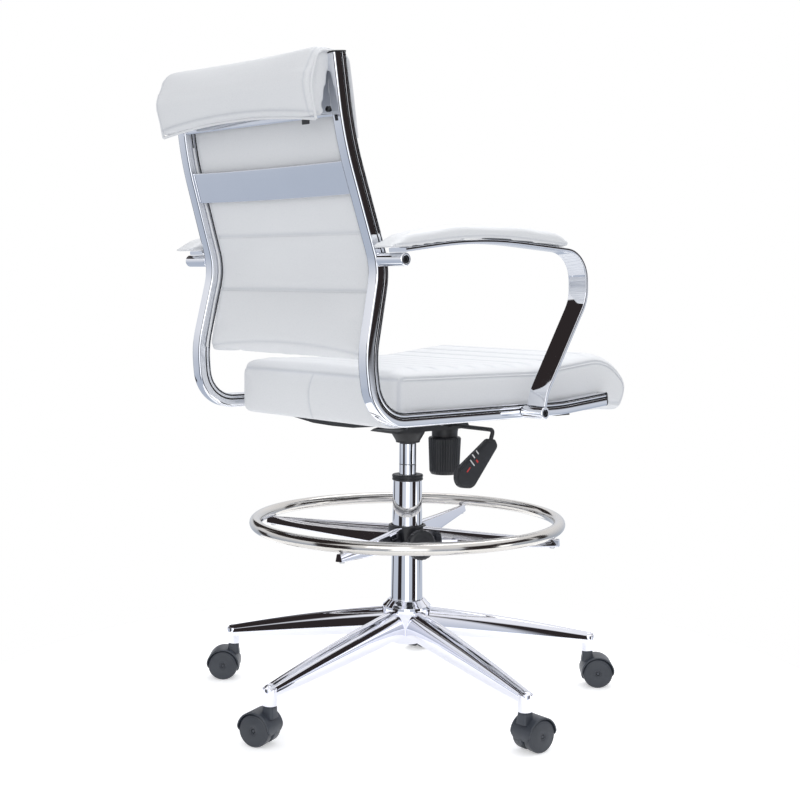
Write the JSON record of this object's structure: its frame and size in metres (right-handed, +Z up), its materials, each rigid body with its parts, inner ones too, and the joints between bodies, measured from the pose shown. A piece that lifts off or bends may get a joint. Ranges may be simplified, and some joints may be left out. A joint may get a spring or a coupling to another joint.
{
  "type": "drafting chair",
  "caption": "Gas-lift drafting chair: ribbed white leather seat and back between bent chrome rails, loop arms, foot ring, tilt mechanism and caster base.",
  "frame": {"origin": "middle of the bounding box, on the floor under the wheels", "axes": "+Z up; the sitter faces -Y and the sitter's right hand is on the -X side"},
  "size_m": [0.6816, 0.7032, 1.0221],
  "materials": {
    "chrome": "mirror chrome plating",
    "ring_steel": "polished stainless tube",
    "plain_steel": "plain turned steel",
    "black_steel": "black powder coat",
    "black_plastic": "satin moulded black plastic",
    "caster_plastic": "dark blue-grey moulded nylon",
    "white_leather": "cool white coated leather with a fine grain"
  },
  "bodies": {
    "base": {"base_star": "chrome", "column_tube": "chrome", "column_collar": "black_plastic", "guide_bush": "black_plastic", "thrust_bearing": "plain_steel", "retaining_clip": "plain_steel"},
    "piston": {"piston_rod": "plain_steel"},
    "lift": {"gas_cylinder": "chrome", "mechanism_housing": "black_steel", "tilt_axle": "plain_steel", "tension_bolt": "plain_steel", "tension_spring": "plain_steel"},
    "lift_pin": {"lift_pin": "plain_steel"},
    "tension_knob": {"tension_knob": "black_plastic"},
    "tilt_lock": {"tilt_lock_bar": "plain_steel"},
    "lever": {"lever_rod": "black_steel", "lever_paddle": "black_plastic"},
    "seat": {"seat_plate": "black_steel", "side_rail_left": "chrome", "side_rail_right": "chrome", "rail_cap_top_left": "black_plastic", "rail_cap_top_right": "black_plastic", "rail_cap_front_left": "black_plastic", "rail_cap_front_right": "black_plastic", "upper_crossbar": "chrome", "middle_crossbar": "chrome", "seat_crossbar_front": "black_steel", "seat_crossbar_rear": "black_steel", "seat_pan": "black_steel", "seat_cushion": "white_leather", "back_pad": "white_leather", "head_pillow": "white_leather", "arm_bar_left": "chrome", "arm_bar_right": "chrome", "arm_pad_left": "white_leather", "arm_pad_right": "white_leather", "arm_spacer_front_left": "chrome", "arm_spacer_front_right": "chrome", "arm_spacer_rear_left": "chrome", "arm_spacer_rear_right": "chrome"},
    "foot_ring": {"foot_ring": "ring_steel", "ring_spider": "chrome"},
    "clamp_knob": {"clamp_knob": "black_plastic"},
    "caster_1": {"caster_body_1": "caster_plastic"},
    "wheel_1_a": {"caster_wheel_1_a": "caster_plastic"},
    "wheel_1_b": {"caster_wheel_1_b": "caster_plastic"},
    "caster_2": {"caster_body_2": "caster_plastic"},
    "wheel_2_a": {"caster_wheel_2_a": "caster_plastic"},
    "wheel_2_b": {"caster_wheel_2_b": "caster_plastic"},
    "caster_3": {"caster_body_3": "caster_plastic"},
    "wheel_3_a": {"caster_wheel_3_a": "caster_plastic"},
    "wheel_3_b": {"caster_wheel_3_b": "caster_plastic"},
    "caster_4": {"caster_body_4": "caster_plastic"},
    "wheel_4_a": {"caster_wheel_4_a": "caster_plastic"},
    "wheel_4_b": {"caster_wheel_4_b": "caster_plastic"},
    "caster_5": {"caster_body_5": "caster_plastic"},
    "wheel_5_a": {"caster_wheel_5_a": "caster_plastic"},
    "wheel_5_b": {"caster_wheel_5_b": "caster_plastic"}
  },
  "joints": [
    {"name": "seat_swivel", "type": "hinge", "parent": "base", "child": "piston", "pos_m": [0.0052, -0.0143, 0.2], "axis": [0, 0, 1], "continuous": true},
    {"name": "seat_lift", "type": "slide", "parent": "piston", "child": "lift", "axis": [0, 0, 1], "range_m": [0, 0.2]},
    {"name": "seat_tilt", "type": "hinge", "parent": "lift", "child": "seat", "pos_m": [0.0052, -0.0593, 0.466], "axis": [-1, 0, 0], "range_deg": [0, 12], "stiffness_Nm_per_rad": 60, "springref_deg": -20.05},
    {"name": "tension_turn", "type": "hinge", "parent": "lift", "child": "tension_knob", "pos_m": [0.0052, -0.0983, 0.4], "axis": [0, 0, 1], "continuous": true},
    {"name": "tilt_lock_pull", "type": "slide", "parent": "lift", "child": "tilt_lock", "axis": [-1, 0, 0], "range_m": [0, 0.008]},
    {"name": "lever_lift", "type": "hinge", "parent": "tilt_lock", "child": "lever", "pos_m": [-0.0448, -0.0803, 0.459], "axis": [1, 0, 0], "range_deg": [0, 10], "stiffness_Nm_per_rad": 0.6, "springref_deg": -28.65},
    {"name": "pin_press", "type": "slide", "parent": "lift", "child": "lift_pin", "axis": [0, 0, 1], "range_m": [-0.003, 0]},
    {"name": "ring_height", "type": "slide", "parent": "base", "child": "foot_ring", "axis": [0, 0, 1], "range_m": [-0.045, 0.045]},
    {"name": "clamp_turn", "type": "hinge", "parent": "foot_ring", "child": "clamp_knob", "pos_m": [-0.0474, 0.00178, 0.269], "axis": [-0.9563, 0.2924, 0], "continuous": true},
    {"name": "caster_swivel_1", "type": "hinge", "parent": "base", "child": "caster_1", "pos_m": [0.29478, 0.13325, 0.06], "axis": [0, 0, 1], "continuous": true},
    {"name": "wheel_turn_1_a", "type": "hinge", "parent": "caster_1", "child": "wheel_1_a", "pos_m": [0.30615, 0.14588, 0.0255], "axis": [-0.7431, 0.6691, 0], "continuous": true},
    {"name": "wheel_turn_1_b", "type": "hinge", "parent": "caster_1", "child": "wheel_1_b", "pos_m": [0.30615, 0.14588, 0.0255], "axis": [-0.7431, 0.6691, 0], "continuous": true},
    {"name": "caster_swivel_2", "type": "hinge", "parent": "base", "child": "caster_2", "pos_m": [-0.04564, 0.3067, 0.06], "axis": [0, 0, 1], "continuous": true},
    {"name": "wheel_turn_2_a", "type": "hinge", "parent": "caster_2", "child": "wheel_2_a", "pos_m": [-0.02988, 0.31307, 0.0255], "axis": [-0.3746, 0.9272, 0], "continuous": true},
    {"name": "wheel_turn_2_b", "type": "hinge", "parent": "caster_2", "child": "wheel_2_b", "pos_m": [-0.02988, 0.31307, 0.0255], "axis": [-0.3746, 0.9272, 0], "continuous": true},
    {"name": "caster_swivel_3", "type": "hinge", "parent": "base", "child": "caster_3", "pos_m": [-0.3158, 0.03654, 0.06], "axis": [0, 0, 1], "continuous": true},
    {"name": "wheel_turn_3_a", "type": "hinge", "parent": "caster_3", "child": "wheel_3_a", "pos_m": [-0.31698, 0.01958, 0.0255], "axis": [0.9976, -0.0698, 0], "continuous": true},
    {"name": "wheel_turn_3_b", "type": "hinge", "parent": "caster_3", "child": "wheel_3_b", "pos_m": [-0.31698, 0.01958, 0.0255], "axis": [0.9976, -0.0698, 0], "continuous": true},
    {"name": "caster_swivel_4", "type": "hinge", "parent": "base", "child": "caster_4", "pos_m": [-0.14235, -0.30388, 0.06], "axis": [0, 0, 1], "continuous": true},
    {"name": "wheel_turn_4_a", "type": "hinge", "parent": "caster_4", "child": "wheel_4_a", "pos_m": [-0.15372, -0.31651, 0.0255], "axis": [0.7431, -0.6691, 0], "continuous": true},
    {"name": "wheel_turn_4_b", "type": "hinge", "parent": "caster_4", "child": "wheel_4_b", "pos_m": [-0.15372, -0.31651, 0.0255], "axis": [0.7431, -0.6691, 0], "continuous": true},
    {"name": "caster_swivel_5", "type": "hinge", "parent": "base", "child": "caster_5", "pos_m": [0.23501, -0.24411, 0.06], "axis": [0, 0, 1], "continuous": true},
    {"name": "wheel_turn_5_a", "type": "hinge", "parent": "caster_5", "child": "wheel_5_a", "pos_m": [0.24026, -0.26028, 0.0255], "axis": [0.9511, 0.309, 0], "continuous": true},
    {"name": "wheel_turn_5_b", "type": "hinge", "parent": "caster_5", "child": "wheel_5_b", "pos_m": [0.24026, -0.26028, 0.0255], "axis": [0.9511, 0.309, 0], "continuous": true}
  ],
  "couplings": [
    {"joint": "pin_press", "follows": "lever_lift", "m_per_rad": -0.017131}
  ]
}
